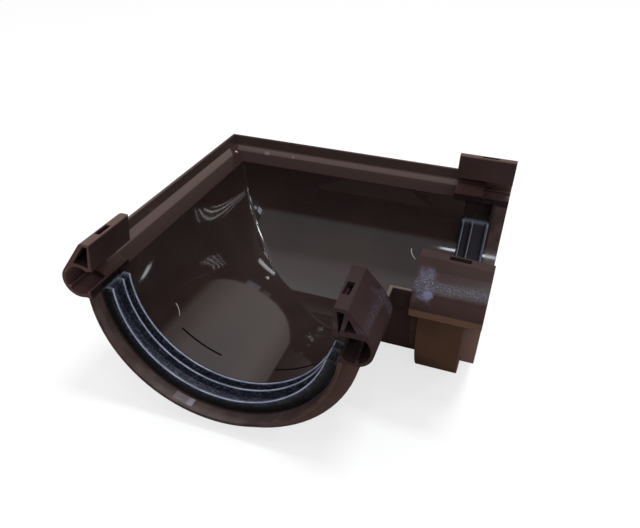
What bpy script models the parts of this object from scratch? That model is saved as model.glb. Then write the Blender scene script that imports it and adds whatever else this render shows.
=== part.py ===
"""Gutter external angle: a right-angled half-round corner with a union socket on each arm.

Frame, metres: the centre lines of the two troughs cross at the origin, +Z is up and Z = 0 is the top
of the rims. The left arm runs along -Y and the right arm along +X. The corner points to -X +Y.
A section is drawn with "across", positive towards the outside of the corner, and "height".
"""
import math

import bmesh
import bpy

for old in list(bpy.data.objects):
    bpy.data.objects.remove(old, do_unlink=True)

# Trough and arms
trough_radius = 0.0536       # inside of the half round
trough_centre = -0.0088      # height of the half-round centre below the rim tops
wall = 0.0015
arc_steps = 44               # facets round the half circle

# Rims: an inward lip, a sloping ledge and a small upstand, measured out from the trough's inside
rim_reach_out = 0.0108       # to the outside of the upstand
upstand_thickness = 0.0015
ledge_height = -0.0054       # ledge where it meets the upstand
ledge_out = 0.0052
ledge_inner_height = -0.0075
lip_out = 0.0006
lip_height = -0.0119
upstand_foot = -0.0082       # lower edge of the outside face

# Union sockets
corner_run = 0.0075          # rim crossing to the start of a socket
socket_length = 0.0286
housing_rise = 0.0062        # seal housing over the outside of the trough
housing_back = 0.0035        # socket start to the housing
housing_front = 0.0065       # housing to the open face
groove_back_wall = 0.0032
groove_front_wall = 0.0012
socket_lip_height = -0.0099  # top edge of the wall under the clips
recess_top = 0.0007          # bar left above the recess over the groove
ledge_run = 0.0148           # ledge carried on under an outer clip

# Clips: hollow hooked heads over the gutter edges; hooks and shoulders are measured from the trough's
# inside, lobes and bends from the outside of the rim
clip_wall = 0.0014
clip_web = 0.0018            # closing web at the back of the hollows
lobe_in = 0.0054             # to the centre of the lobe
lobe_height = -0.0059
lobe_radius = 0.0077
lobe_steps = 14
lobe_rib = 0.0016            # rib along the inside of the lobe
outer_rib_bearing = -36.0
inner_rib_bearing = -74.0
arch_shift = 0.0010          # the roof of the lobe stands in and up from the lobe by this
outer_hook_in = 0.0030       # hook inside the trough's wall
outer_hook_drop = 0.0010     # crown of the lobe's roof to the foot of the hook
outer_hook_lean = 0.0007
outer_top = 0.0131
outer_shoulder_out = 0.0018
inner_hook_in = 0.0030
inner_hook_taper = 0.0017    # the head is deeper at its back
inner_hook_drop = 0.0020
inner_top = 0.0106
inner_shoulder_out = 0.0021
inner_bend_in = 0.0017
inner_bend_height = 0.0030
slot_width = 0.0028
slot_length = 0.0084
slot_from_face = 0.0090      # socket face to the near end of the slot

# Seals
seal_clearance = 0.0003
seal_floor_depth = 0.0016    # floor between the lips, inside the trough's wall
lip_depth = 0.0040
lip_thickness = 0.0010       # at the tip
lip_root = 0.0022            # thickness where a lip leaves the floor
lip_places = (0.08, 0.42, 0.975)    # share of the groove's length
left_seal = (3.4, 166.0)     # degrees below level at the outer end, to the inner end
right_seal = (15.5, 177.0)

trough_outer = trough_radius + wall
rim_across = trough_radius + rim_reach_out
ledge_inner = trough_radius + ledge_out
lip_across = trough_radius + lip_out
socket_start = rim_across + corner_run
arm_length = socket_start + socket_length
bulge_radius = trough_outer + housing_rise
bulge_start = socket_start + housing_back
bulge_end = arm_length - housing_front
groove_radius = bulge_radius - wall
groove_start = bulge_start + groove_back_wall
groove_end = bulge_end - groove_front_wall
lobe_across = rim_across - lobe_in
wall_top = trough_radius + wall * 0.9


def place(arm, across, along, height):
    """Point of one arm in the part frame."""
    if arm == "left":
        return (-across, -along, height)
    return (along, across, height)


def ring_point(radius, angle):
    """Across and height on the half round; the angle runs from the outer side down and round."""
    return radius * math.cos(angle), trough_centre - radius * math.sin(angle)


def make_object(name, vertices, faces):
    mesh = bpy.data.meshes.new(name)
    mesh.from_pydata(vertices, [], faces)
    shaped = bmesh.new()
    shaped.from_mesh(mesh)
    bmesh.ops.recalc_face_normals(shaped, faces=shaped.faces)
    shaped.to_mesh(mesh)
    shaped.free()
    result = bpy.data.objects.new(name, mesh)
    bpy.context.collection.objects.link(result)
    return result


def rings_to_object(name, rings, caps=None):
    """Closed body through rings of equal length; caps lists the faces that close an end."""
    count = len(rings[0])
    caps = caps or [tuple(range(count))]
    vertices = [point for ring in rings for point in ring]
    faces = []
    for row in range(len(rings) - 1):
        for column in range(count):
            following = (column + 1) % count
            low = row * count
            high = low + count
            faces.append((low + column, low + following, high + following, high + column))
    last = (len(rings) - 1) * count
    faces += caps
    faces += [tuple(last + column for column in cap) for cap in caps]
    return make_object(name, vertices, faces)


def prism(name, arm, outline, start, end, start_outline=None):
    first = start_outline or outline
    return rings_to_object(name, [
        [place(arm, across, start, height) for across, height in first],
        [place(arm, across, end, height) for across, height in outline],
    ])


def corner_sweep(name, outline, reach):
    """Section carried along the left arm, round the mitre and along the right arm."""
    return rings_to_object(name, [
        [place("left", across, reach, height) for across, height in outline],
        [place("left", across, -across, height) for across, height in outline],
        [place("right", across, reach, height) for across, height in outline],
    ])


def combine(target, tools, operation):
    for tool in tools:
        step = target.modifiers.new(operation.title(), "BOOLEAN")
        step.object = tool
        step.operation = operation
        step.solver = "EXACT"
        bpy.context.view_layer.objects.active = target
        bpy.ops.object.modifier_apply(modifier=step.name)
        bpy.data.objects.remove(tool, do_unlink=True)
    return target


def material(name, colour, roughness):
    made = bpy.data.materials.new(name)
    made.use_nodes = True
    shader = made.node_tree.nodes["Principled BSDF"]
    shader.inputs["Base Color"].default_value = (*colour, 1.0)
    shader.inputs["Roughness"].default_value = roughness
    return made


def finish(result, surface, angle):
    """Merge stray points, drop flat fragments, shade and give the surface."""
    shaped = bmesh.new()
    shaped.from_mesh(result.data)
    bmesh.ops.remove_doubles(shaped, verts=shaped.verts, dist=0.00001)
    bmesh.ops.dissolve_degenerate(shaped, edges=shaped.edges, dist=0.00001)
    stray = [edge for edge in shaped.edges if not edge.link_faces]
    bmesh.ops.delete(shaped, geom=stray, context="EDGES")
    bmesh.ops.triangulate(shaped, faces=shaped.faces)
    bmesh.ops.recalc_face_normals(shaped, faces=shaped.faces)
    shaped.to_mesh(result.data)
    shaped.free()
    result.data.materials.clear()
    result.data.materials.append(surface)
    result.data.shade_smooth()
    result.data.set_sharp_from_angle(angle=math.radians(angle))


# Half-round shell of both arms, with the seal housings
shell_angle = math.asin((trough_centre - lip_height) / trough_outer)
shell_half = [("plain", arm_length), ("plain", groove_end), ("deep", groove_end),
              ("deep", groove_start), ("plain", groove_start)]
outside_half = [("plain", arm_length), ("plain", bulge_end), ("deep", bulge_end),
                ("deep", bulge_start), ("plain", bulge_start)]


def shell_ring(angle):
    ring = []
    for half, plain, deep in ((shell_half, trough_radius, groove_radius),
                              (outside_half, trough_outer, bulge_radius)):
        path = [(("left"), kind, along) for kind, along in half]
        path += [("mitre", "plain", None)]
        path += [(("right"), kind, along) for kind, along in reversed(half)]
        if half is outside_half:
            path.reverse()
        for arm, kind, along in path:
            radius = deep if kind == "deep" else plain
            across, height = ring_point(radius, angle)
            if arm == "mitre":
                ring.append(place("left", across, -across, height))
            else:
                ring.append(place(arm, across, along, height))
    return ring


shell_angles = [shell_angle + (math.pi - 2 * shell_angle) * step / arc_steps for step in range(arc_steps + 1)]
corner = rings_to_object("corner_moulding", [shell_ring(angle) for angle in shell_angles])

# Rims, run on into the clips' back webs
rim_reach = socket_start + clip_web / 2


def rim_outline(side):
    ledge = [
        (trough_radius + wall * 0.05, lip_height - wall / 3),
        (lip_across, lip_height),
        (ledge_inner, ledge_inner_height),
        (rim_across - upstand_thickness, ledge_height),
        (rim_across - upstand_thickness, 0.0),
        (rim_across, 0.0),
        (rim_across, upstand_foot),
        (rim_across - upstand_thickness, ledge_height - wall * 1.5),
        (ledge_inner + wall * 0.6, ledge_inner_height - wall),
        (lip_across + wall * 0.8, lip_height - wall * 0.9),
        (trough_radius + wall * 0.5, lip_height - wall * 1.4),
    ]
    return [(side * across, height) for across, height in ledge]


outer_rim = corner_sweep("outer_rim", rim_outline(1), rim_reach)
inner_rim = corner_sweep("inner_rim", rim_outline(-1), rim_reach)


# Clips
def lobe_point(radius, degrees):
    angle = math.radians(degrees)
    return lobe_across + radius * math.cos(angle), lobe_height + radius * math.sin(angle)


def tangent_degrees(across, height):
    """Bearing on the lobe where a line from the point touches it on the outer side."""
    offset_across = across - lobe_across
    offset_height = height - lobe_height
    distance = math.hypot(offset_across, offset_height)
    bearing = math.atan2(offset_height, offset_across)
    return math.degrees(bearing - math.acos(min(1.0, lobe_radius / distance)))


def arc(radius, first, last):
    return [lobe_point(radius, first + (last - first) * step / lobe_steps) for step in range(lobe_steps + 1)]


lobe_inner = lobe_radius - clip_wall
floor_bearing = math.degrees(math.acos(min(1.0, (lobe_across - wall_top) / lobe_inner))) - 180.0
lobe_floor = lobe_point(lobe_inner, floor_bearing)    # where the lobe hollow meets the socket wall


def arch_point(degrees, rise=0.0):
    """Point on the roof of the lobe, or that much above it."""
    across, height = lobe_point(lobe_inner + rise, degrees)
    return across - arch_shift, height + arch_shift


def mirrored(points, side):
    return [(side * across, height) for across, height in points]


def clip(name, arm, side, hook, drop, lean, top, shoulder, bend, deeper, rib_bearing):
    """Clip of one side: side is 1 on the outer edge of an arm and -1 on its inner edge."""
    half_wall = clip_wall / 2
    foot = lobe_height + lobe_inner - drop + (0.0 if bend else arch_shift)
    slope_from = bend or (shoulder, top - half_wall)
    if bend:
        level = foot + half_wall
        top_bearing = math.degrees(math.asin((level - lobe_height) / lobe_inner))
        roof = [lobe_point(lobe_inner, top_bearing), (hook + clip_wall * 2, level)]
    else:
        top_bearing = 25.0
        roof = [arch_point(bearing) for bearing in (32, 50, 68, 86, 106, 130)]
    behind = roof[0][1] - wall / 2

    def outline(extra):
        back_shoulder = shoulder - extra * 0.65
        back_top = top + extra * 0.4
        points = [(hook - extra, back_top)]
        if bend:
            points += [(back_shoulder, back_top), bend]
        else:
            points += [(back_shoulder - clip_wall, back_top), (back_shoulder, back_top - half_wall)]
        points += arc(lobe_radius, tangent_degrees(*slope_from), -106.0)
        points.append((trough_radius, lobe_height - lobe_radius * 0.94))
        points.append((trough_radius, socket_lip_height))
        points.append((wall_top, socket_lip_height))
        points.append(lobe_floor)
        points.append((ledge_inner + wall * 0.4, ledge_inner_height - wall / 2))
        points.append((rim_across - upstand_thickness / 2, ledge_height - wall / 2))
        points.append((rim_across - upstand_thickness / 2, behind))
        points += roof
        points.append((hook + lean + clip_wall, foot))
        points.append((hook + lean, foot))
        return mirrored(points, side)

    body = prism(name, arm, outline(0.0), socket_start, arm_length, outline(deeper))
    back = socket_start + clip_web
    front = arm_length + clip_web

    def hollow(points):
        return prism("hollow", arm, mirrored(points, side), back, front)

    rib_half = math.degrees(lobe_rib / lobe_inner) / 2
    lobe = arc(lobe_inner, floor_bearing, rib_bearing - rib_half)
    lobe.append(lobe_point(lobe_inner - lobe_rib, rib_bearing - rib_half * 0.7))
    lobe.append(lobe_point(lobe_inner - lobe_rib, rib_bearing + rib_half * 0.7))
    lobe += arc(lobe_inner, rib_bearing + rib_half, top_bearing)
    if bend:
        lobe.append((lobe_floor[0], level))
        pocket = [
            (hook + clip_wall * 0.7, top - clip_wall),
            (shoulder - clip_wall * 0.8, top - clip_wall * 1.2),
            (hook + clip_wall * 2.1, foot + clip_wall * 2.4),
            (hook + clip_wall * 1.6, foot + clip_wall * 0.9),
        ]
        wedge = [
            (shoulder + clip_wall * 0.35, top - clip_wall * 2.6),
            (bend[0] - clip_wall * 2.2, foot + clip_wall * 2.2),
            (shoulder - clip_wall * 0.6, foot + clip_wall * 1.9),
        ]
        hollows = [hollow(lobe), hollow(pocket), hollow(wedge)]
    else:
        lobe += roof
        pocket = [
            (hook + clip_wall * 0.65, top - clip_wall),
            (shoulder - clip_wall * 1.2, top - clip_wall),
            arch_point(78.0, clip_wall * 1.3),
            arch_point(100.0, clip_wall),
            (hook + lean + clip_wall, foot + clip_wall),
        ]
        hollows = [hollow(lobe), hollow(pocket)]

    near = arm_length - slot_from_face
    slot_inside = hook + clip_wall * 0.65 - deeper / 2
    slot = [
        (slot_inside, top - clip_wall * 1.8),
        (slot_inside + slot_width, top - clip_wall * 1.8),
        (slot_inside + slot_width, top + clip_wall),
        (slot_inside, top + clip_wall),
    ]
    hollows.append(prism("slot", arm, mirrored(slot, side), near - slot_length, near))
    recess_back = (trough_radius + lobe_floor[0]) / 2
    recess = [
        (trough_radius - half_wall, socket_lip_height - recess_top),
        (recess_back, socket_lip_height - recess_top),
        (recess_back, lobe_height - lobe_radius - half_wall),
        (trough_radius - half_wall, lobe_height - lobe_radius - half_wall),
    ]
    hollows.append(prism("recess", arm, mirrored(recess, side), groove_start + seal_clearance,
                         groove_end - seal_clearance))
    return combine(body, hollows, "DIFFERENCE")


def under_ledge(name, arm):
    """The rim's ledge carried on under the outer clip, from the socket wall to the lobe."""
    deep = wall * 1.1
    outline = [
        (wall_top, ledge_inner_height - (ledge_inner - wall_top)),
        (ledge_inner, ledge_inner_height),
        (rim_across - upstand_thickness, ledge_height),
        (lobe_across + lobe_radius - clip_wall / 2, ledge_height),
        (lobe_across + lobe_radius - clip_wall / 2, ledge_height - deep),
        (ledge_inner + deep / 2, ledge_inner_height - deep),
        lobe_point(lobe_inner + clip_wall / 2, -117.0),
    ]
    return prism(name, arm, outline, socket_start + clip_web / 3, socket_start + ledge_run)


clips = []
for arm in ("left", "right"):
    clips.append(clip(arm + "_outer_clip", arm, 1, trough_radius - outer_hook_in, outer_hook_drop,
                      outer_hook_lean, outer_top, trough_radius + outer_shoulder_out, None, 0.0,
                      outer_rib_bearing))
    clips.append(clip(arm + "_inner_clip", arm, -1, trough_radius - inner_hook_in, inner_hook_drop,
                      0.0, inner_top, trough_radius + inner_shoulder_out,
                      (rim_across - inner_bend_in, inner_bend_height), inner_hook_taper,
                      inner_rib_bearing))
    clips.append(under_ledge(arm + "_ledge", arm))

combine(corner, [outer_rim, inner_rim] + clips, "UNION")


# Seals: a base that fills the groove with a little play, and three lips
def seal(name, arm, first, last):
    low = groove_start + seal_clearance
    high = groove_end - seal_clearance
    base = groove_radius - seal_clearance
    throat = trough_radius - seal_clearance
    floor = trough_radius - seal_floor_depth
    tip = floor - lip_depth
    lips = [groove_start + (groove_end - groove_start) * share for share in lip_places]
    profile = [(base, low), (base, high), (throat, high)]
    front = max(lips[-1] + lip_root / 3, high + lip_root / 4)
    profile.append((throat, front))
    profile.append((floor, front))
    for index in reversed(range(len(lips))):
        profile.append((tip, lips[index] + lip_thickness / 2))
        profile.append((tip, lips[index] - lip_thickness / 2))
        profile.append((floor, lips[index] - lip_root / 2))
        if index:
            profile.append((floor, lips[index - 1] + lip_root / 2))
    profile.append((throat, low))
    ceiling = lobe_height - lobe_radius - seal_clearance

    def angle_at(radius, degrees):
        """Angle of a seal end, kept below the closed top of the groove."""
        if radius < throat:
            return math.radians(degrees)
        return max(math.radians(degrees), math.asin((trough_centre - ceiling) / radius))

    rings = []
    for step in range(arc_steps + 1):
        ring = []
        for radius, along in profile:
            start = angle_at(radius, first)
            stop = math.pi - angle_at(radius, 180.0 - last)
            across, height = ring_point(radius, start + (stop - start) * step / arc_steps)
            ring.append(place(arm, across, along, height))
        rings.append(ring)
    buried_cap = (0, 1, 2, len(profile) - 1)
    lip_cap = tuple(range(2, len(profile)))
    return rings_to_object(name, rings, [buried_cap, lip_cap])


left = seal("lip_seal_left_arm", "left", *left_seal)
right = seal("lip_seal_right_arm", "right", *right_seal)

brown = material("brown_pvc", (0.035, 0.022, 0.018), 0.35)
black = material("black_rubber", (0.02, 0.023, 0.028), 0.5)
finish(corner, brown, 28.0)
finish(left, black, 28.0)
finish(right, black, 28.0)
for made in (corner, left, right):
    print(made.name, len(made.data.polygons), [round(side, 4) for side in made.dimensions])
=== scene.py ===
# %% [markdown]
# # A gutter external angle in moulded PVC
#
# The object is a right-angled corner for a half-round gutter. Each arm ends in a socket with a rubber
# lip seal and two hollow clip heads. The packed part already has the true sizes, so this lesson loads
# it as a fixed frame, gives its edges and surfaces the finish of the real moulding, and lights it.

# %% Load the frame
import math
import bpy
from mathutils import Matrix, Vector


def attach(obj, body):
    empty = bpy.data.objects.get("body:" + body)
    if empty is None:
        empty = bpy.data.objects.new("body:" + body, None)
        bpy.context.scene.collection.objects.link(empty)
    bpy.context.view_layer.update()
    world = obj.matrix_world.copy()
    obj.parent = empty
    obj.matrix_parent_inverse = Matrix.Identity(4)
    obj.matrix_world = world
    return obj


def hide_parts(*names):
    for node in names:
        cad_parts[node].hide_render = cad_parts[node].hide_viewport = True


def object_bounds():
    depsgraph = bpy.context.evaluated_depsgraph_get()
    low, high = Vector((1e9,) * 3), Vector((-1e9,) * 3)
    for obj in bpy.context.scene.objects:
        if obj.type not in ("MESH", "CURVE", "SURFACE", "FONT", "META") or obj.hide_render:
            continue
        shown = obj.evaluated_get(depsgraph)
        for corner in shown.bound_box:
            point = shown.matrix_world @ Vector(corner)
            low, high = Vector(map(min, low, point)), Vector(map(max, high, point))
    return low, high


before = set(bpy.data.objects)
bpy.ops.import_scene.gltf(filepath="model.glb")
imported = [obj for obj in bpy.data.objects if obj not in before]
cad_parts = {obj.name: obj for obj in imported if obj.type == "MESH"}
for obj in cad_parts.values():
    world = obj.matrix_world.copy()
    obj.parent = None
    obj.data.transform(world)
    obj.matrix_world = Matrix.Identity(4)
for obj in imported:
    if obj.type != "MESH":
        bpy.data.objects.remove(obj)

from types import SimpleNamespace

import bmesh
import bpy
from mathutils import Matrix, Vector

cad_low, cad_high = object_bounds()
print("nodes:", sorted(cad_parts))
print("frame box:", [round(c, 4) for c in cad_low], [round(c, 4) for c in cad_high])

# %% [markdown]
# ## The camera
#
# A photograph fixes where its camera stood. A camera can be placed by eye and nudged, but straight
# edges do it better: the rims and the clip heads run along two known directions and give the direction
# of view, and the known width of the trough gives the distance. So the camera here is built from those
# facts: a place, three angles, a focal length in pixels of the photograph, and the pixel that the lens
# axis meets. The last one becomes a lens shift, because the photograph was cropped off centre.

# %% Camera from the photograph
PHOTO_WIDTH = 640
PHOTO_HEIGHT = 528
CAMERA_PLACE = Vector((0.09823, -0.27637, 0.14093))
CAMERA_HEADING = 0.36128
CAMERA_TILT = -0.58831
CAMERA_ROLL = 0.01449
FOCAL_PIXELS = 640.81
AXIS_PIXEL = (283.58, 284.46)
SENSOR_WIDTH = 36.0


def camera_matrix(place, heading, tilt, roll):
    """Camera frame from a heading round Z, a tilt above level and a roll about the view direction."""
    ahead = Vector((-math.sin(heading), math.cos(heading), 0.0))
    forward = ahead * math.cos(tilt) + Vector((0.0, 0.0, math.sin(tilt)))
    level = Vector((math.cos(heading), math.sin(heading), 0.0))
    upright = level.cross(forward)
    right = level * math.cos(roll) + upright * math.sin(roll)
    up = upright * math.cos(roll) - level * math.sin(roll)
    turn = Matrix((right, up, -forward)).transposed().to_4x4()
    return Matrix.Translation(place) @ turn


camera_data = bpy.data.cameras.new("camera")
camera_data.sensor_width = SENSOR_WIDTH
camera_data.lens = SENSOR_WIDTH * FOCAL_PIXELS / PHOTO_WIDTH
camera_data.shift_x = (PHOTO_WIDTH / 2 - AXIS_PIXEL[0]) / PHOTO_WIDTH
camera_data.shift_y = (AXIS_PIXEL[1] - PHOTO_HEIGHT / 2) / PHOTO_WIDTH
camera_data.clip_start = 0.01
camera = bpy.data.objects.new("camera", camera_data)
camera.matrix_world = camera_matrix(CAMERA_PLACE, CAMERA_HEADING, CAMERA_TILT, CAMERA_ROLL)
bpy.context.scene.collection.objects.link(camera)
bpy.context.scene.camera = camera
print("lens mm:", round(camera_data.lens, 2))
print("lens shift:", round(camera_data.shift_x, 4), round(camera_data.shift_y, 4))

# %% [markdown]
# ## A small language for shader maths
#
# A finish that varies over the surface is a chain of Math nodes. It could be drawn in the editor or
# written node by node, but both are long and hard to read. One class that wraps a socket and overloads
# the arithmetic operators lets the same chain read as a formula, with soft steps as its main words.

# %% Sockets as values
class Value:
    """A shader socket that takes part in arithmetic. Each operator adds one Math node."""

    def __init__(self, tree, socket):
        self.tree = tree
        self.socket = socket

    def math(self, operation, *others):
        return self.tree.node("ShaderNodeMath", {"operation": operation}, self, *others)

    def __add__(self, other):
        return self.math("ADD", other)

    def __sub__(self, other):
        return self.math("SUBTRACT", other)

    def __rsub__(self, other):
        return self.tree.node("ShaderNodeMath", {"operation": "SUBTRACT"}, other, self)

    def __mul__(self, other):
        return self.math("MULTIPLY", other)

    def __truediv__(self, other):
        return self.math("DIVIDE", other)

    __radd__ = __add__
    __rmul__ = __mul__

    def size(self):
        return self.math("ABSOLUTE")

    def either(self, other):
        """The larger of two masks, so 1 where either is 1."""
        return self.math("MAXIMUM", other)

    def clamped(self):
        return self.tree.node("ShaderNodeClamp", {}, self, 0.0, 1.0)

    def band(self, low, high):
        """0 below low, 1 above high, a smooth rise between them."""
        return self.tree.node(
            "ShaderNodeMapRange", {"interpolation_type": "SMOOTHSTEP"}, self, low, high, 0.0, 1.0)

    def above(self, edge, soft):
        """1 above the edge and 0 below it, with a rise over twice the soft distance."""
        return self.band(edge - soft, edge + soft)

    def below(self, edge, soft):
        return 1.0 - self.above(edge, soft)

    def between(self, low, high, soft):
        return self.above(low, soft) - self.above(high, soft)


print("a value knows:", [word for word in vars(Value) if not word.startswith("_")])

# %% [markdown]
# ## One method for every other node
#
# A finish also needs noises, colour mixes, bumps and shaders, each with its own sockets. A function for
# each kind would be many functions, so one method takes a node's type, its settings and its inputs.
# Colours are written as they look in a picture, and turned into the linear light that shaders use.

# %% Node trees and colours
class Tree:
    """The node tree of a material or a world. node() takes a type, its settings and its inputs."""

    def __init__(self, owner):
        owner.use_nodes = True
        self.owner = owner
        self.nodes = owner.node_tree.nodes
        self.links = owner.node_tree.links

    def fill(self, socket, content):
        if isinstance(content, Value):
            self.links.new(content.socket, socket)
        elif content is not None:
            socket.default_value = content

    def dress(self, shader, **sockets):
        """Fill a shader's sockets by name, with _ for a space. Returns its output."""
        for key, content in sockets.items():
            self.fill(shader.inputs[key.replace("_", " ")], content)
        return shader.outputs[0]

    def node(self, kind, settings, *inputs, output=0, **named):
        made = self.nodes.new(kind)
        for key, setting in settings.items():
            setattr(made, key, setting)
        for index, content in enumerate(inputs):
            self.fill(made.inputs[index], content)
        self.dress(made, **named)
        return Value(self, made.outputs[output])

    def mix(self, factor, first, second):
        """Colour mix. The RGBA sockets of the Mix node are inputs 6 and 7 and output 2."""
        skipped = [None] * 5
        return self.node("ShaderNodeMix", {"data_type": "RGBA"}, factor, *skipped, first, second, output=2)

    def layered(self, tone, layers):
        """A base tone with each layer's tone mixed over it by the layer's mask."""
        for mask, layer in layers:
            tone = self.mix(mask, tone, layer)
        return tone

    def noise(self, place, scale, detail=3.0, roughness=0.5):
        return self.node("ShaderNodeTexNoise", {},
                         Vector=place, Scale=scale, Detail=detail, Roughness=roughness)

    def place(self):
        return self.node("ShaderNodeTexCoord", {}, output="Object")

    def axes(self, place):
        split = self.nodes.new("ShaderNodeSeparateXYZ")
        self.links.new(place.socket, split.inputs[0])
        return [Value(self, output) for output in split.outputs]

    def ray(self, kind):
        """1 for rays of one kind: Camera, Glossy or Transmission."""
        return self.node("ShaderNodeLightPath", {}, output=f"Is {kind} Ray")

    def blend(self, factor, first, second):
        """Two shader outputs mixed by a factor, as the material's surface."""
        made = self.nodes.new("ShaderNodeMixShader")
        self.fill(made.inputs[0], factor)
        self.links.new(first, made.inputs[1])
        self.links.new(second, made.inputs[2])
        self.links.new(made.outputs[0], self.nodes["Material Output"].inputs["Surface"])


def material_tree(name):
    return Tree(bpy.data.materials.new(name))


def colour(red, green, blue):
    """Linear colour from the 0 to 255 values that a picture shows."""
    def linear(channel):
        share = channel / 255
        return share / 12.92 if share <= 0.04045 else ((share + 0.055) / 1.055) ** 2.4
    return (linear(red), linear(green), linear(blue), 1.0)


print("a mid brown is", [round(c, 3) for c in colour(60, 46, 43)])

# %% [markdown]
# ## Finding a place on the object from its coordinates
#
# Each finish belongs to a part of one moulding: a clip head, a groove, a mouth. Painting a mask by hand
# would do, but a mask worked out from coordinates stays sharp however near the camera comes. Both arms
# are alike, so one set of measures serves both: how far along an arm a point lies, how far across, how
# far out from the centre line of the trough, and at which angle round the half circle. The mitre is
# where x = -y, and that makes the first two measures plain maxima of the coordinates.

# %% Measures for the materials
TROUGH_CENTRE = -0.0088
TROUGH_RADIUS = 0.0536
ARM_LENGTH = cad_high[0]


def measures(tree):
    """Place, along, across, height, radius, angle in degrees, 1 on the right arm, and off the mitre."""
    place = tree.place()
    x, y, z = tree.axes(place)
    across = y.either(x * -1.0)
    depth = TROUGH_CENTRE - z
    return SimpleNamespace(
        place=place, along=x.either(y * -1.0), across=across, height=z,
        radius=(across * across + depth * depth).math("SQRT"),
        angle=depth.math("ARCTAN2", across) * math.degrees(1.0),
        on_right=(x + y).math("GREATER_THAN", 0.0), off_mitre=(x + y).size())


print("arm length:", round(ARM_LENGTH, 4))

# %% [markdown]
# ## The parts of the moulding
#
# The corner is one moulding, so its parts are not separate pieces of geometry. The real tool, though,
# has polished and plain faces, and each part takes its finish from the face that formed it. Each part
# here is a mask: a product of soft steps on the measures, 1 on the part and 0 off it. The steps are
# either crisp, a tenth of a millimetre, or soft, three tenths.

# %% Masks of the moulding's parts
CRISP = 0.0001
SOFT = 0.0003
SOCKET_START = 0.0719
MOUTH_START = ARM_LENGTH - 0.0065
END_FACE_START = ARM_LENGTH - 0.00015
GROOVE_REACH = (0.0784, 0.0930)
GROOVE_RADIUS = 0.0603
OUTER_SKIN = TROUGH_RADIUS + 0.0011
INNER_SKIN = TROUGH_RADIUS + 0.0006
RIM_ACROSS = 0.0642
UPSTAND_ACROSS = 0.0627
FOOT_ACROSS = 0.0625
LEDGE_INNER = 0.0588
LEDGE_TOP = -0.0048
LIP_FOOT = -0.0125
CLIP_FOOT = -0.0135
LOBE_CENTRE = (0.0590, -0.0059)
LOBE_INNER_RADIUS = 0.00655


def moulding_parts(tree, at):
    """Masks of the parts. Outer and inner are the two sides of the corner."""
    width = at.across.size()
    outer = at.across.math("GREATER_THAN", 0.0)
    in_socket = at.along.above(SOCKET_START, SOFT)
    below_lip = at.height.below(LIP_FOOT, SOFT)
    inward = width.below(FOOT_ACROSS, SOFT)
    groove = at.along.between(*GROOVE_REACH, CRISP) * at.radius.below(GROOVE_RADIUS, SOFT)
    ledge = inward * width.above(TROUGH_RADIUS + CRISP, SOFT) * at.height.below(LEDGE_TOP, SOFT)
    lobe_out = at.across - LOBE_CENTRE[0]
    lobe_up = at.height - LOBE_CENTRE[1]
    return SimpleNamespace(
        outer=outer, inner=1.0 - outer, in_socket=in_socket, inward=inward,
        clip=in_socket * at.height.above(CLIP_FOOT, SOFT),
        shell=at.radius.above(OUTER_SKIN, SOFT) * below_lip * (1.0 - groove),
        inside=at.radius.below(INNER_SKIN, SOFT),
        rim_side=width.above(RIM_ACROSS, CRISP),
        upstand=width.above(UPSTAND_ACROSS, CRISP),
        end_face=at.along.above(END_FACE_START, CRISP),
        mouth=at.along.above(MOUTH_START + SOFT, SOFT) * below_lip,
        slope=width.below(LEDGE_INNER, SOFT) * (1.0 - below_lip),
        ledge=ledge * (1.0 - below_lip) * (1.0 - in_socket),
        hollow=(lobe_out * lobe_out + lobe_up * lobe_up).math("SQRT").below(LOBE_INNER_RADIUS, CRISP),
        worn=tree.node("ShaderNodeAttribute", {"attribute_name": "worn"}, output="Fac"))


print("socket", round(ARM_LENGTH - SOCKET_START, 4), "m long, mouth", round(ARM_LENGTH - MOUTH_START, 4))

# %% [markdown]
# ## The tones of brown PVC
#
# The resin is one dark warm brown all through. Its tones still differ: the outside of the sockets is
# painted paler and warmer, as the warm light that it catches, and the tops of the outer clips are paler
# still. The rounded edges and rim crests carry a painted highlight, the ledge a painted warm reflection
# with painted shade on its slope, the feet of the outer clips painted shade, and the clip hollows and the
# upstands painted light. One image texture could hold all that, but layers of tone over masks are easier
# to read and to correct. A slow noise keeps every tone from being flat.

# %% Tones of the moulding
CLIP_TOP = 0.0125
FOOT_TOP = -0.0042
HEM_TOP = -0.0068
CREST = -0.0003
STREAKS = (0.35, 0.65)
# Pairs are the two ends of a cloudy mix, or what the name says.
BODY_TONES = (colour(37, 28, 27), colour(42, 32, 30))
LEFT_CLIP_TONES = (colour(41, 30, 30), colour(50, 38, 38))
RIGHT_CLIP_TONES = (colour(48, 36, 34), colour(56, 43, 41))
# Painted warm light on the outside of the sockets.
SOCKET_WARM_LIGHT_TONES = (colour(52, 37, 29), colour(62, 45, 36))
MOUTH_TONES = (colour(52, 41, 39), colour(66, 53, 50))
# Painted warm light on the outside of the mouths, paler on the right arm.
MOUTH_SKIN_WARM_LIGHT_LEFT_RIGHT = (colour(70, 56, 52), colour(90, 70, 64))
# Painted warm reflection on the ledge's flat and painted shade on its slope.
LEDGE_SHEEN_AND_SLOPE_SHADE = (colour(60, 40, 37), colour(46, 34, 32))
TROUGH_SKIN_TONE = colour(45, 33, 31)
# Painted light on the inner face of the upstands.
UPSTAND_PAINTED_LIGHT_TONE = colour(62, 50, 47)
CLIP_TOP_TONE = colour(94, 76, 70)
CLIP_FACE_TONE = colour(84, 64, 58)
# Painted shade at the feet of the outer clips.
FOOT_SHADE_TONE = colour(31, 22, 23)
HEM_TONE = colour(82, 61, 51)
# Painted light that lifts the shade inside the clip hollows.
HOLLOW_PAINTED_LIGHT_TONE = colour(82, 62, 60)
# Painted highlight for the rounded edges and the rim crests.
EDGE_HIGHLIGHT_TONE = colour(102, 85, 78)


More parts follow.
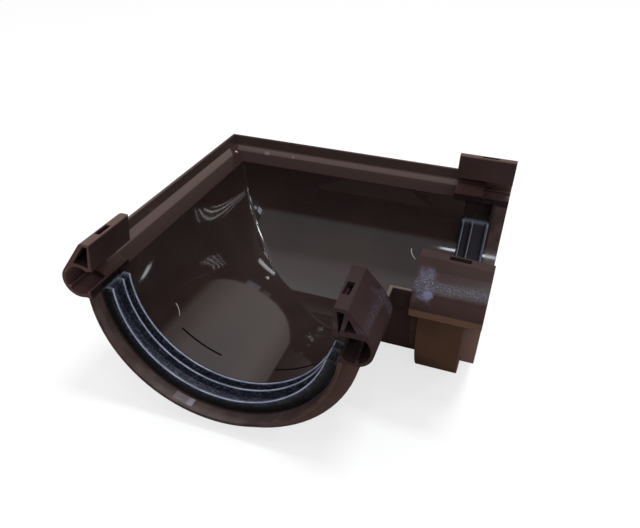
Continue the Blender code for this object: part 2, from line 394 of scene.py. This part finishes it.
def moulding_tone(tree, at, part, cloud, patch):
    """Base colour of the brown moulding, part by part, before any marks."""
    streaks = cloud.band(*STREAKS)
    clip = tree.mix(at.on_right, tree.mix(streaks, *LEFT_CLIP_TONES), tree.mix(streaks, *RIGHT_CLIP_TONES))
    clip_face = part.end_face * part.clip * part.outer * (1.0 - at.on_right)
    # The outside of the sockets and mouths is painted paler and warmer, as the warm light that it catches.
    mouth_skin = tree.mix(at.on_right, *MOUTH_SKIN_WARM_LIGHT_LEFT_RIGHT)
    on_mouth = at.along.above(MOUTH_START - CRISP, SOFT)
    socket_skin = tree.mix(on_mouth, tree.mix(streaks, *SOCKET_WARM_LIGHT_TONES), mouth_skin)
    # Painted shade at the feet of the outer clips.
    foot_shade = part.clip * part.inward * part.outer * at.height.below(FOOT_TOP, SOFT)
    hem = part.clip * at.on_right * part.inner * at.height.below(HEM_TOP, SOFT)
    # Painted highlight on the rounded edges and, fainter, on the rim crests.
    crest = at.height.above(CREST, SOFT) * (1.0 - part.in_socket)
    highlit = (part.worn + crest * 0.4).clamped() * (patch.band(0.3, 0.6) * 0.4 + 0.3)
    return tree.layered(tree.mix(streaks, *BODY_TONES), (
        # Painted light on the inner face of the upstands.
        (part.upstand * (1.0 - part.rim_side), UPSTAND_PAINTED_LIGHT_TONE),
        (part.mouth, tree.mix(patch.band(*STREAKS), *MOUTH_TONES)),
        (part.shell, tree.mix(part.in_socket, TROUGH_SKIN_TONE, socket_skin)),
        (part.clip, clip),
        (part.clip * at.height.above(CLIP_TOP, SOFT), CLIP_TOP_TONE),
        (foot_shade, FOOT_SHADE_TONE),
        # Painted reflection on the ledge, painted shade on its slope.
        (part.ledge, tree.mix(part.slope, *LEDGE_SHEEN_AND_SLOPE_SHADE)),
        (clip_face * 0.6, CLIP_FACE_TONE),
        (hem, HEM_TONE),
        (highlit, EDGE_HIGHLIGHT_TONE),
        # Painted light inside the clip hollows.
        (part.hollow * part.clip * 0.75, HOLLOW_PAINTED_LIGHT_TONE)))


print("rubbed edges are", [round(c, 3) for c in EDGE_HIGHLIGHT_TONE])

# %% [markdown]
# ## Frost and painted sheen on the inner clips
#
# The inner clip heads are handled and flexed. Along their bend, and in a patch near the back, the dark
# resin has gone grainy, and its pale bluish look is partly a painted sheen of the cool lamps. The frost
# could be modelled as fine bumps, but its grains are only fractions of a millimetre wide, so a fine noise
# cut by a threshold is enough. A faint even painted bluish sheen lies under the patch.

# %% Frost and painted sheen
BEND_HEIGHT = 0.0030
BEND_FADE = (0.0006, 0.0021)
PATCH_START = (0.0722, 0.0745)
PATCH_END = (0.0770, 0.0815)
PATCH_HEIGHTS = (-0.0048, 0.0080)
PATCH_FADE = 0.0012
# Pale bluish grains, partly real frost and partly a painted sheen.
FROST_AND_SHEEN_TONE = colour(122, 124, 146)
# Painted bluish sheen.
BLUE_SHEEN_TONE = colour(112, 114, 140)


def clip_frost_and_sheen(tree, at, part, patch):
    """Masks of the grainy frost with its painted sheen, and of the painted bluish sheen under it."""
    grains = tree.noise(at.place, 2200.0, 4.0, 0.7).band(0.46, 0.62)
    bend = 1.0 - (at.height - BEND_HEIGHT).size().band(*BEND_FADE)
    near_back = at.along.band(*PATCH_START) * (1.0 - at.along.band(*PATCH_END))
    patched = near_back * at.height.between(*PATCH_HEIGHTS, PATCH_FADE) * patch.band(0.36, 0.60)
    inner_clip = part.clip * part.inner
    frost_and_sheen = inner_clip * (at.on_right * 0.6 + 0.4) * grains * (bend * 0.8 + patched).clamped()
    return frost_and_sheen, inner_clip * at.on_right * patched


print("frost is centred", BEND_HEIGHT, "m above the rims")

# %% [markdown]
# ## Moulded and rubbed marks
#
# Two thin lines are moulded across each trough, to show how deep the gutter goes in. Beside them is a
# small bowed rub mark high on the wall, and in each mouth a small blank pad. They could be cut into the
# mesh, but none is deeper than the moulding's own grain, so each is drawn by its reach along the arm
# and its angles round the trough. The scuffs on the ledges and on one clip head are ragged spots, and so
# are two painted highlights on the mitre crease. The clip head's scuff carries a painted bluish sheen.

# %% Marks
DEPTH_LINE = (0.06245, 0.06355)
DEPTH_LINE_ANGLES = ((49.7, 74.9), (104.8, 128.6))
RUB_ANGLES = (38.5, 44.5)
RUB_REACH = (0.0550, 0.0584)
RUB_BOW = 0.0036
RUB_HALF_WIDTH = 0.00022
PAD_REACH = (0.0945, 0.0988)
PAD_ANGLES = (67.5, 77.5)
PAD_SHINE_ANGLES = (73.5, 76.0)
ANGLE_FADE = 0.4
LINE_TONE = colour(9, 9, 12)
RUB_TONE = colour(176, 168, 164)
PAD_TONES = (colour(92, 82, 86), colour(126, 120, 130))
# Each spot has a place, a reach and a tone.
SCUFFS_AND_HIGHLIGHTS = (
    # Two painted highlights on the mitre crease.
    ((-0.0585, 0.0560, -0.0070), 0.0013, colour(226, 222, 238)),
    ((-0.0522, 0.0522, -0.0124), 0.0008, colour(196, 190, 190)),
    # Two scuffs on the ledge.
    ((-0.0405, 0.0592, -0.0062), 0.0024, colour(98, 86, 88)),
    ((-0.0240, 0.0592, -0.0062), 0.0018, colour(96, 84, 86)),
    # A scuff on a clip head, its bluish tone a painted sheen.
    ((0.0782, -0.0640, -0.0006), 0.0028, colour(104, 108, 134)))


def depth_lines(at, part):
    """1 on the two thin arcs that mark the depth."""
    arcs = [at.angle.between(*angles, ANGLE_FADE) for angles in DEPTH_LINE_ANGLES]
    return (arcs[0] + arcs[1]) * at.along.between(*DEPTH_LINE, CRISP) * part.inside


def rub_mark(at, part):
    """1 on a thin bowed line high on the trough wall."""
    share = (at.angle - RUB_ANGLES[0]) / (RUB_ANGLES[1] - RUB_ANGLES[0])
    middle = share * (RUB_REACH[1] - RUB_REACH[0]) + RUB_REACH[0] - share * (1.0 - share) * RUB_BOW
    off = (at.along - middle).size()
    return off.below(RUB_HALF_WIDTH, CRISP) * at.angle.between(*RUB_ANGLES, ANGLE_FADE) * part.inside


def blank_pad(at, part):
    """1 on the small pad in the mouth."""
    angles = at.angle.between(*PAD_ANGLES, ANGLE_FADE)
    return at.along.between(*PAD_REACH, CRISP) * angles * (1.0 - part.shell)


def ragged_spot(tree, at, centre, reach, grain):
    """1 on a small ragged spot around a point."""
    away = tree.node("ShaderNodeVectorMath", {"operation": "DISTANCE"}, at.place, centre, output="Value")
    return 1.0 - (away / reach + (grain - 0.5) * 0.9).band(0.45, 0.95)


print("depth lines", len(DEPTH_LINE_ANGLES), "scuffs", len(SCUFFS_AND_HIGHLIGHTS))

# %% [markdown]
# ## Brown PVC
#
# The inside of the trough and its ledges were formed against polished steel and mirror the room. The
# clip heads, the end faces and the outside came from a plain tool and are matt. One shader with a
# varied roughness could do both, but a rough dark surface still shows a grey sheen at flat angles that
# the real matt faces lack. So a second shader without any sheen is mixed in by place.

# %% Brown PVC material
POLISHED_ROUGHNESS = 0.045
MATT_ROUGHNESS = 0.5
CREASE_REACH = 0.0028
CLIP_MATT_SHARE = 0.55
SLOPE_MATT_SHARE = 0.8
# What a part or a mark adds to the roughness.
CLOUD_ROUGHNESS = 0.02
CREASE_ROUGHNESS = 0.035
LEFT_MOUTH_ROUGHNESS = 0.25
RIGHT_MOUTH_ROUGHNESS = 0.05
MARK_ROUGHNESS = 0.15
CLIP_ROUGHNESS = 0.16


def brown_pvc():
    tree = material_tree("brown_pvc")
    at = measures(tree)
    part = moulding_parts(tree, at)
    cloud = tree.noise(at.place, 26.0)
    patch = tree.noise(at.place, 140.0)
    grain = tree.noise(at.place, 900.0, 2.0)
    frost_and_sheen, blue_sheen = clip_frost_and_sheen(tree, at, part, patch)
    lines = depth_lines(at, part)
    pad = blank_pad(at, part)

    body = tree.layered(moulding_tone(tree, at, part, cloud, patch), (
        # Frost grains with a painted sheen, then a painted bluish sheen.
        (frost_and_sheen * 0.55, FROST_AND_SHEEN_TONE),
        (blue_sheen * 0.2, BLUE_SHEEN_TONE),
        (lines, LINE_TONE),
        (rub_mark(at, part) * 0.9, RUB_TONE),
        (pad * (patch.band(0.2, 0.7) * 0.3 + 0.6), tree.mix(at.angle.band(*PAD_SHINE_ANGLES), *PAD_TONES))))
    # Scuffs, and painted highlights on the crease.
    for centre, reach, tone in SCUFFS_AND_HIGHLIGHTS:
        body = tree.mix(ragged_spot(tree, at, centre, reach, grain) * 0.7, body, tone)

    crease = (1.0 - at.off_mitre.band(CREASE_REACH * 0.5, CREASE_REACH)) * part.inside
    mouth_rough = LEFT_MOUTH_ROUGHNESS - at.on_right * (LEFT_MOUTH_ROUGHNESS - RIGHT_MOUTH_ROUGHNESS)
    rough = (cloud.band(0.2, 0.9) + grain.band(0.55, 0.75)) * CLOUD_ROUGHNESS + POLISHED_ROUGHNESS
    rough = rough + crease * CREASE_ROUGHNESS + part.mouth * mouth_rough
    rough = rough + (pad + part.worn) * MARK_ROUGHNESS + part.clip * CLIP_ROUGHNESS
    relief = grain * (part.clip * 0.6 + part.shell * 0.4 + 0.02) + pad + frost_and_sheen * 0.6
    bump = tree.node("ShaderNodeBump", {}, Strength=0.25, Distance=0.0002, Height=relief)

    polished = tree.dress(tree.nodes["Principled BSDF"], Base_Color=body, Roughness=rough, Normal=bump)
    matt = tree.dress(tree.nodes.new("ShaderNodeBsdfPrincipled"), Base_Color=body,
                      Roughness=grain * 0.1 + MATT_ROUGHNESS, Normal=bump, Specular_IOR_Level=0.0)
    half_matt = (part.slope * SLOPE_MATT_SHARE).either(part.clip * CLIP_MATT_SHARE)
    all_matt = part.shell.either(part.end_face).either(lines).either(part.rim_side)
    tree.blend(all_matt.either(half_matt), polished, matt)
    print("brown PVC nodes:", len(tree.nodes))
    return tree.owner


pvc = brown_pvc()

# %% [markdown]
# ## Black rubber
#
# The seals are pressed in a darker, bluish rubber. The front edges of the three lips carry a painted
# pale highlight, and the outermost lip a second painted highlight behind the first. The floor between the
# lips keeps a fine speckle of talc, the flank towards the mouth is painted black as shade, and the cut ends
# are a little paler. The right arm's seal is cleaner. The highlights could come from bevels alone, but on
# a lip one millimetre thick both edges would merge, so thin bands along the arm place them one by one.

# %% Black rubber material
LIP_TIPS = ((0.07924, 0.08024), (0.08406, 0.08506), (0.09194, 0.09295))
LIP_TIP_RADIUS = 0.0480
HIGHLIGHT_WIDTH = 0.00034
HIGHLIGHT_OVERLAP = 0.0002
HIGHLIGHT_DEPTH = 0.0004
SEAL_START_LEFT_RIGHT = (3.4, 15.5)
RUBBER_TONES = (colour(17, 18, 24), colour(25, 27, 35))
CLEAN_RUBBER_TONE = colour(30, 24, 30)
# Painted shade on the lip's flank towards the mouth.
FLANK_SHADE_TONE = colour(11, 12, 13)
CUT_END_TONE = colour(92, 96, 110)
TALC_TONE = colour(76, 81, 99)
# Painted highlight on the lip edges.
LIP_HIGHLIGHT_TONE = colour(158, 166, 190)


def lip_highlights(at, at_tip):
    """1 on the painted highlights along the lip edges."""
    last_back = LIP_TIPS[-1][0]
    edges = at.along.between(last_back - CRISP, last_back + HIGHLIGHT_WIDTH * 0.7, CRISP)
    for fore in [tip[1] for tip in LIP_TIPS]:
        edges = edges + at.along.between(fore - HIGHLIGHT_WIDTH, fore + HIGHLIGHT_OVERLAP, CRISP)
    return edges.clamped() * at_tip


def black_rubber():
    tree = material_tree("black_rubber")
    at = measures(tree)
    cloud = tree.noise(at.place, 120.0)
    dust = tree.noise(at.place, 1250.0, 3.0, 0.7)
    talc = dust.band(0.50, 0.62)
    front = at.along.above(LIP_TIPS[-1][1] + CRISP, CRISP)
    at_tip = at.radius.below(LIP_TIP_RADIUS + HIGHLIGHT_DEPTH, SOFT)
    # Painted highlight on the lip edges, fainter on the right arm.
    lip_highlight = lip_highlights(at, at_tip) * (cloud.band(0.25, 0.65) * 0.5 + 0.5) * (1.0 - at.on_right * 0.6)
    left_start, right_start = SEAL_START_LEFT_RIGHT
    from_end = at.angle - (at.on_right * (right_start - left_start) + left_start)
    cut_end = (1.0 - from_end.band(0.3, 2.4)) * (1.0 - front)

    body = tree.layered(tree.mix(cloud.band(0.3, 0.7), *RUBBER_TONES), (
        (at.on_right * 0.8, CLEAN_RUBBER_TONE),
        (talc * (0.85 - at.on_right * 0.75), TALC_TONE),
        (cut_end * 0.5, CUT_END_TONE),
        # Painted shade on the flank towards the mouth.
        (front * (1.0 - at_tip) * 0.9, FLANK_SHADE_TONE),
        (lip_highlight * 0.85, LIP_HIGHLIGHT_TONE)))
    rough = talc * 0.2 + at.on_right * 0.4 + 0.42
    bump = tree.node("ShaderNodeBump", {}, Strength=0.3, Distance=0.0002, Height=dust + cloud * 0.5)
    tree.dress(tree.nodes["Principled BSDF"],
               Base_Color=body, Roughness=rough, Normal=bump, Specular_IOR_Level=0.3)
    print("black rubber nodes:", len(tree.nodes))
    return tree.owner


rubber = black_rubber()

# %% [markdown]
# ## From loose triangles to a finished moulding
#
# A packed node is a soup of triangles. A copy of it is merged, its flat facets are joined again, and
# its sharp edges get the small radius that every moulding has. That radius is what catches the light
# along each rim in the photograph. A Bevel modifier would round the edges too, but the bevel operator
# also hands back the new faces. They are marked as rounded edges, and the material paints a pale highlight
# on them.
# The inside crease of the mitre gets a larger radius first. Normals weighted by face area keep the
# large faces flat, so that what they mirror isn't bent near a rounded edge.

# %% Copy and finish a CAD node
EDGE_RADIUS = 0.00025
CREASE_RADIUS = 0.0016
CREASE_SEGMENTS = 6
EDGE_SEGMENTS = 2
MERGE_DISTANCE = 0.000004
FLAT_DEGREES = 0.4
SHARP_DEGREES = 24.0
SMOOTH_DEGREES = 35.0
CREASE_TOP = -0.0122
CREASE_TOLERANCE = 0.00002


def on_crease(edge):
    """True for an edge on the inside crease of the mitre, below the lip."""
    def point_on_crease(point):
        inside = math.hypot(point.x, point.z - TROUGH_CENTRE) < TROUGH_RADIUS + SOFT
        return inside and abs(point.x + point.y) < CREASE_TOLERANCE and point.z < CREASE_TOP
    return all(point_on_crease(vert.co) for vert in edge.verts)


print("edges are rounded to", EDGE_RADIUS, "m and the crease to", CREASE_RADIUS, "m")


def rounded(shaped, edges, radius, segments):
    """Bevel the edges of a bmesh to a radius. Returns the new faces."""
    made = bmesh.ops.bevel(shaped, geom=edges, offset=radius, affect="EDGES", segments=segments,
                           profile=0.5, material=-1, offset_type="OFFSET", clamp_overlap=True)
    return made["faces"]


def finished_copy(node_name, name, material):
    """A merged copy of a CAD node with its sharp edges rounded."""
    shaped = bmesh.new()
    shaped.from_mesh(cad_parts[node_name].data)
    bmesh.ops.remove_doubles(shaped, verts=shaped.verts, dist=MERGE_DISTANCE)
    bmesh.ops.dissolve_limit(shaped, angle_limit=math.radians(FLAT_DEGREES), verts=shaped.verts,
                             edges=shaped.edges, use_dissolve_boundaries=False)
    crease = [edge for edge in shaped.edges if on_crease(edge)]
    if crease:
        rounded(shaped, crease, CREASE_RADIUS, CREASE_SEGMENTS)
    limit = math.radians(SHARP_DEGREES)
    sharp = [edge for edge in shaped.edges if len(edge.link_faces) == 2 and edge.calc_face_angle() > limit]
    # The rounded faces get a painted highlight in the material.
    worn = shaped.faces.layers.float.new("worn")
    for face in rounded(shaped, sharp, EDGE_RADIUS, EDGE_SEGMENTS):
        face[worn] = 1.0
    mesh = bpy.data.meshes.new(name)
    shaped.to_mesh(mesh)
    shaped.free()
    mesh.materials.append(material)
    mesh.shade_smooth()
    mesh.set_sharp_from_angle(angle=math.radians(SMOOTH_DEGREES))
    piece = bpy.data.objects.new(name, mesh)
    bpy.context.scene.collection.objects.link(piece)
    weighted = piece.modifiers.new("weighted normals", "WEIGHTED_NORMAL")
    weighted.keep_sharp = True
    print(name, "crease edges", len(crease), "sharp edges", len(sharp), "faces", len(mesh.polygons))
    return piece


# %% [markdown]
# ## The three pieces
#
# On a bench the real object comes apart into one moulding and two seals, so the scene has the same
# three pieces. The moulding could be split by finish into more objects, but it is one shot of resin,
# and the masks above already tell its parts from one another.

# %% Corner moulding and seals
corner = finished_copy("corner_moulding", "corner_finished", pvc)
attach(corner, "root")
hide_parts("corner_moulding")

for arm in ("left", "right"):
    strip = finished_copy(f"lip_seal_{arm}_arm", f"seal_{arm}_finished", rubber)
    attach(strip, "root")
    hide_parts(f"lip_seal_{arm}_arm")

# %% [markdown]
# ## Floor and background
#
# The photograph has a plain white background. Strong lamps on a white floor would give it, and would
# wash out the dark moulding. So the floor is white, and most of what the camera and a mirror see of it
# is a plain white of strength 1, through Light Path. The object keeps a faint shadow, and the light
# that falls on it stays at a plain level.

# %% Floor
FLOOR_SIZE = 6.0
FLOOR_GAP = 0.0005
FLOOR_WHITE_SHARE = 0.72
WHITE = (1.0, 1.0, 1.0, 1.0)


def flat_sheet(name, width, depth, centre):
    """A level rectangle as a staged object."""
    shaped = bmesh.new()
    place = Matrix.Translation(centre) @ Matrix.Diagonal((width, depth, 1.0, 1.0))
    bmesh.ops.create_grid(shaped, x_segments=1, y_segments=1, size=0.5, matrix=place)
    mesh = bpy.data.meshes.new(name)
    shaped.to_mesh(mesh)
    shaped.free()
    sheet = bpy.data.objects.new(name, mesh)
    bpy.context.scene.collection.objects.link(sheet)
    return sheet


floor = flat_sheet("floor", FLOOR_SIZE, FLOOR_SIZE, (0.0, 0.0, cad_low[2] - FLOOR_GAP))
floor_tree = material_tree("pale_floor")
paint = floor_tree.dress(floor_tree.nodes["Principled BSDF"],
                         Base_Color=colour(250, 250, 250), Roughness=0.9)
white = floor_tree.dress(floor_tree.nodes.new("ShaderNodeEmission"), Color=WHITE, Strength=1.0)
seen = floor_tree.ray("Camera").either(floor_tree.ray("Glossy")).either(floor_tree.ray("Transmission"))
floor_tree.blend(seen * FLOOR_WHITE_SHARE, paint, white)
floor.data.materials.append(floor_tree.owner)
print("floor at", round(cad_low[2] - FLOOR_GAP, 4))

# %% [markdown]
# ## A studio for a glossy part
#
# Dark glossy plastic shows little colour of its own. What makes its shape readable is the room that
# it mirrors. A picture of a room could be wrapped round the scene, but a few smooth steps over the
# direction are plainer and can be tuned one by one. Here the room is white behind the part and
# overhead and dark near the horizon, as in a light tent that is open below. It is faintly warm behind
# the part and faintly cool on the camera's side. All but the mirrored rays also get a weak warm light
# from the open part, and the camera itself sees white.

# %% World
TENT_EDGE = (0.41, 0.52)
TENT_EDGE_LEAN = 0.08
TENT_SIDE = 0.55
TENT_TOP = 0.42
TENT_TOP_EDGE = (0.80, 1.00)
TENT_TOP_LEAN = 0.5
ROOM_LEVEL = 0.10
ROOM_FRONT = 0.40
ROOM_WARM = (1.0, 0.84, 0.74, 1.0)
SIDE_WARM = (1.0, 0.88, 0.82, 1.0)
SIDE_COOL = (0.88, 0.94, 1.0, 1.0)

world = bpy.data.worlds.new("light tent")
bpy.context.scene.world = world
tent_tree = Tree(world)
direction = tent_tree.node("ShaderNodeTexCoord", {}, output="Generated")
x, y, z = tent_tree.axes(direction)
camera_ray = tent_tree.ray("Camera")
in_tent = (z + y * TENT_EDGE_LEAN).band(*TENT_EDGE)
tent = in_tent * ((z + y * TENT_TOP_LEAN).band(*TENT_TOP_EDGE) * TENT_TOP + TENT_SIDE)
open_room = (1.0 - in_tent) * (1.0 - tent_tree.ray("Glossy"))
room = open_room * (ROOM_LEVEL + (1.0 - y.band(-0.5, 0.1)) * ROOM_FRONT)
level = (tent + room) * (1.0 - camera_ray) + camera_ray
side = tent_tree.mix(y.band(-0.3, 0.3), SIDE_COOL, SIDE_WARM)
side = tent_tree.mix(z.band(0.50, 0.80), side, WHITE)
tint = tent_tree.mix(camera_ray, tent_tree.mix(in_tent, ROOM_WARM, side), WHITE)
tent_tree.dress(tent_tree.nodes["Background"], Color=tint, Strength=level)
print("tent begins", round(math.degrees(math.asin(TENT_EDGE[0])), 1), "degrees above the horizon")

# %% [markdown]
# ## A dark card
#
# The far trough wall leans towards the camera and would mirror the white floor in front of the part.
# In the photograph it is dark there, as over a dark table. A whole dark floor would spoil the white
# background, so a dark card lies in front of the part, as a photographer would place one, and only
# mirrored rays see it.

# %% Card
CARD_BACK = -0.13
CARD_FRONT = -FLOOR_SIZE / 2
CARD_LEVEL = cad_low[2] + FLOOR_GAP

card_centre = (0.0, (CARD_BACK + CARD_FRONT) / 2, CARD_LEVEL)
card = flat_sheet("dark_card", FLOOR_SIZE, CARD_BACK - CARD_FRONT, card_centre)
card.visible_camera = False
card.visible_diffuse = False
card.visible_shadow = False
card_tree = material_tree("dark_card")
card_grain = card_tree.noise(card_tree.place(), 3.0, 4.0)
card_tone = card_tree.mix(card_grain, colour(58, 42, 33), colour(84, 62, 48))
card_tree.dress(card_tree.nodes["Principled BSDF"], Base_Color=card_tone, Roughness=0.8)
card.data.materials.append(card_tree.owner)
print("card from y =", CARD_FRONT, "to", CARD_BACK)

# %% [markdown]
# ## Lamps
#
# Each small highlight in the photograph is the mirror image of one lamp, so a lamp's direction follows
# from where its highlight lies. Lamps could be placed by coordinates, but a bearing and a height in
# the sky are what a mirror shows. A bank of narrow strips works like a window with a blind, and gives
# the striped light on the trough wall. The others are a strong lamp nearly overhead, small ones at the
# right and high in front, and a cool window behind the camera, with a bright gap beside it.

# %% Lamps
LAMP_DISTANCE = 2.4
WARM_WHITE = (1.0, 0.98, 0.95)
COOL_WHITE = (0.80, 0.88, 1.0)
BLIND_BEARING = 134.8
BLIND_FOOT = 28.6
BLIND_STEP = 2.4
BLIND_RADIANCES = (44, 60, 44, 24)


def lamp(name, bearing, rise, wide, high, radiance, tint):
    """Area lamp of the given width and height in degrees, seen from the object."""
    azimuth = math.radians(bearing)
    elevation = math.radians(rise)
    level_way = Vector((math.sin(azimuth), math.cos(azimuth), 0.0))
    way = level_way * math.cos(elevation) + Vector((0.0, 0.0, math.sin(elevation)))
    data = bpy.data.lights.new(name, "AREA")
    data.shape = "RECTANGLE"
    data.size = 2 * LAMP_DISTANCE * math.tan(math.radians(wide) / 2)
    data.size_y = 2 * LAMP_DISTANCE * math.tan(math.radians(high) / 2)
    data.energy = radiance * math.pi * data.size * data.size_y
    data.color = tint
    made = bpy.data.objects.new(name, data)
    made.location = way * LAMP_DISTANCE
    made.rotation_euler = (-way).to_track_quat("-Z", "Y").to_euler()
    made.visible_camera = False
    bpy.context.scene.collection.objects.link(made)
    print("lamp", name, "bearing", bearing, "rise", round(rise, 1), "watts", round(data.energy, 2))


lamp("overhead", 92, 79, 9, 14, 40, (0.92, 0.96, 1.0))
lamp("right", 87, 45.5, 5, 3, 60, (0.98, 0.98, 1.0))
lamp("high front", 161, 70, 2, 3, 120, (0.95, 0.97, 1.0))
lamp("cool window", 165, 40, 10, 6, 20, COOL_WHITE)
lamp("cool gap", 179.5, 40, 6, 2.6, 16, COOL_WHITE)
for slat, radiance in enumerate(BLIND_RADIANCES):
    lamp(f"blind {slat}", BLIND_BEARING, BLIND_FOOT + slat * BLIND_STEP, 6.5, 0.55, radiance, WARM_WHITE)

# %% [markdown]
# ## Last settings
#
# A colour is judged as it is written only under a plain view transform, so Standard is set in place of
# the default film look.

# %% Last settings
bpy.context.scene.view_settings.view_transform = "Standard"
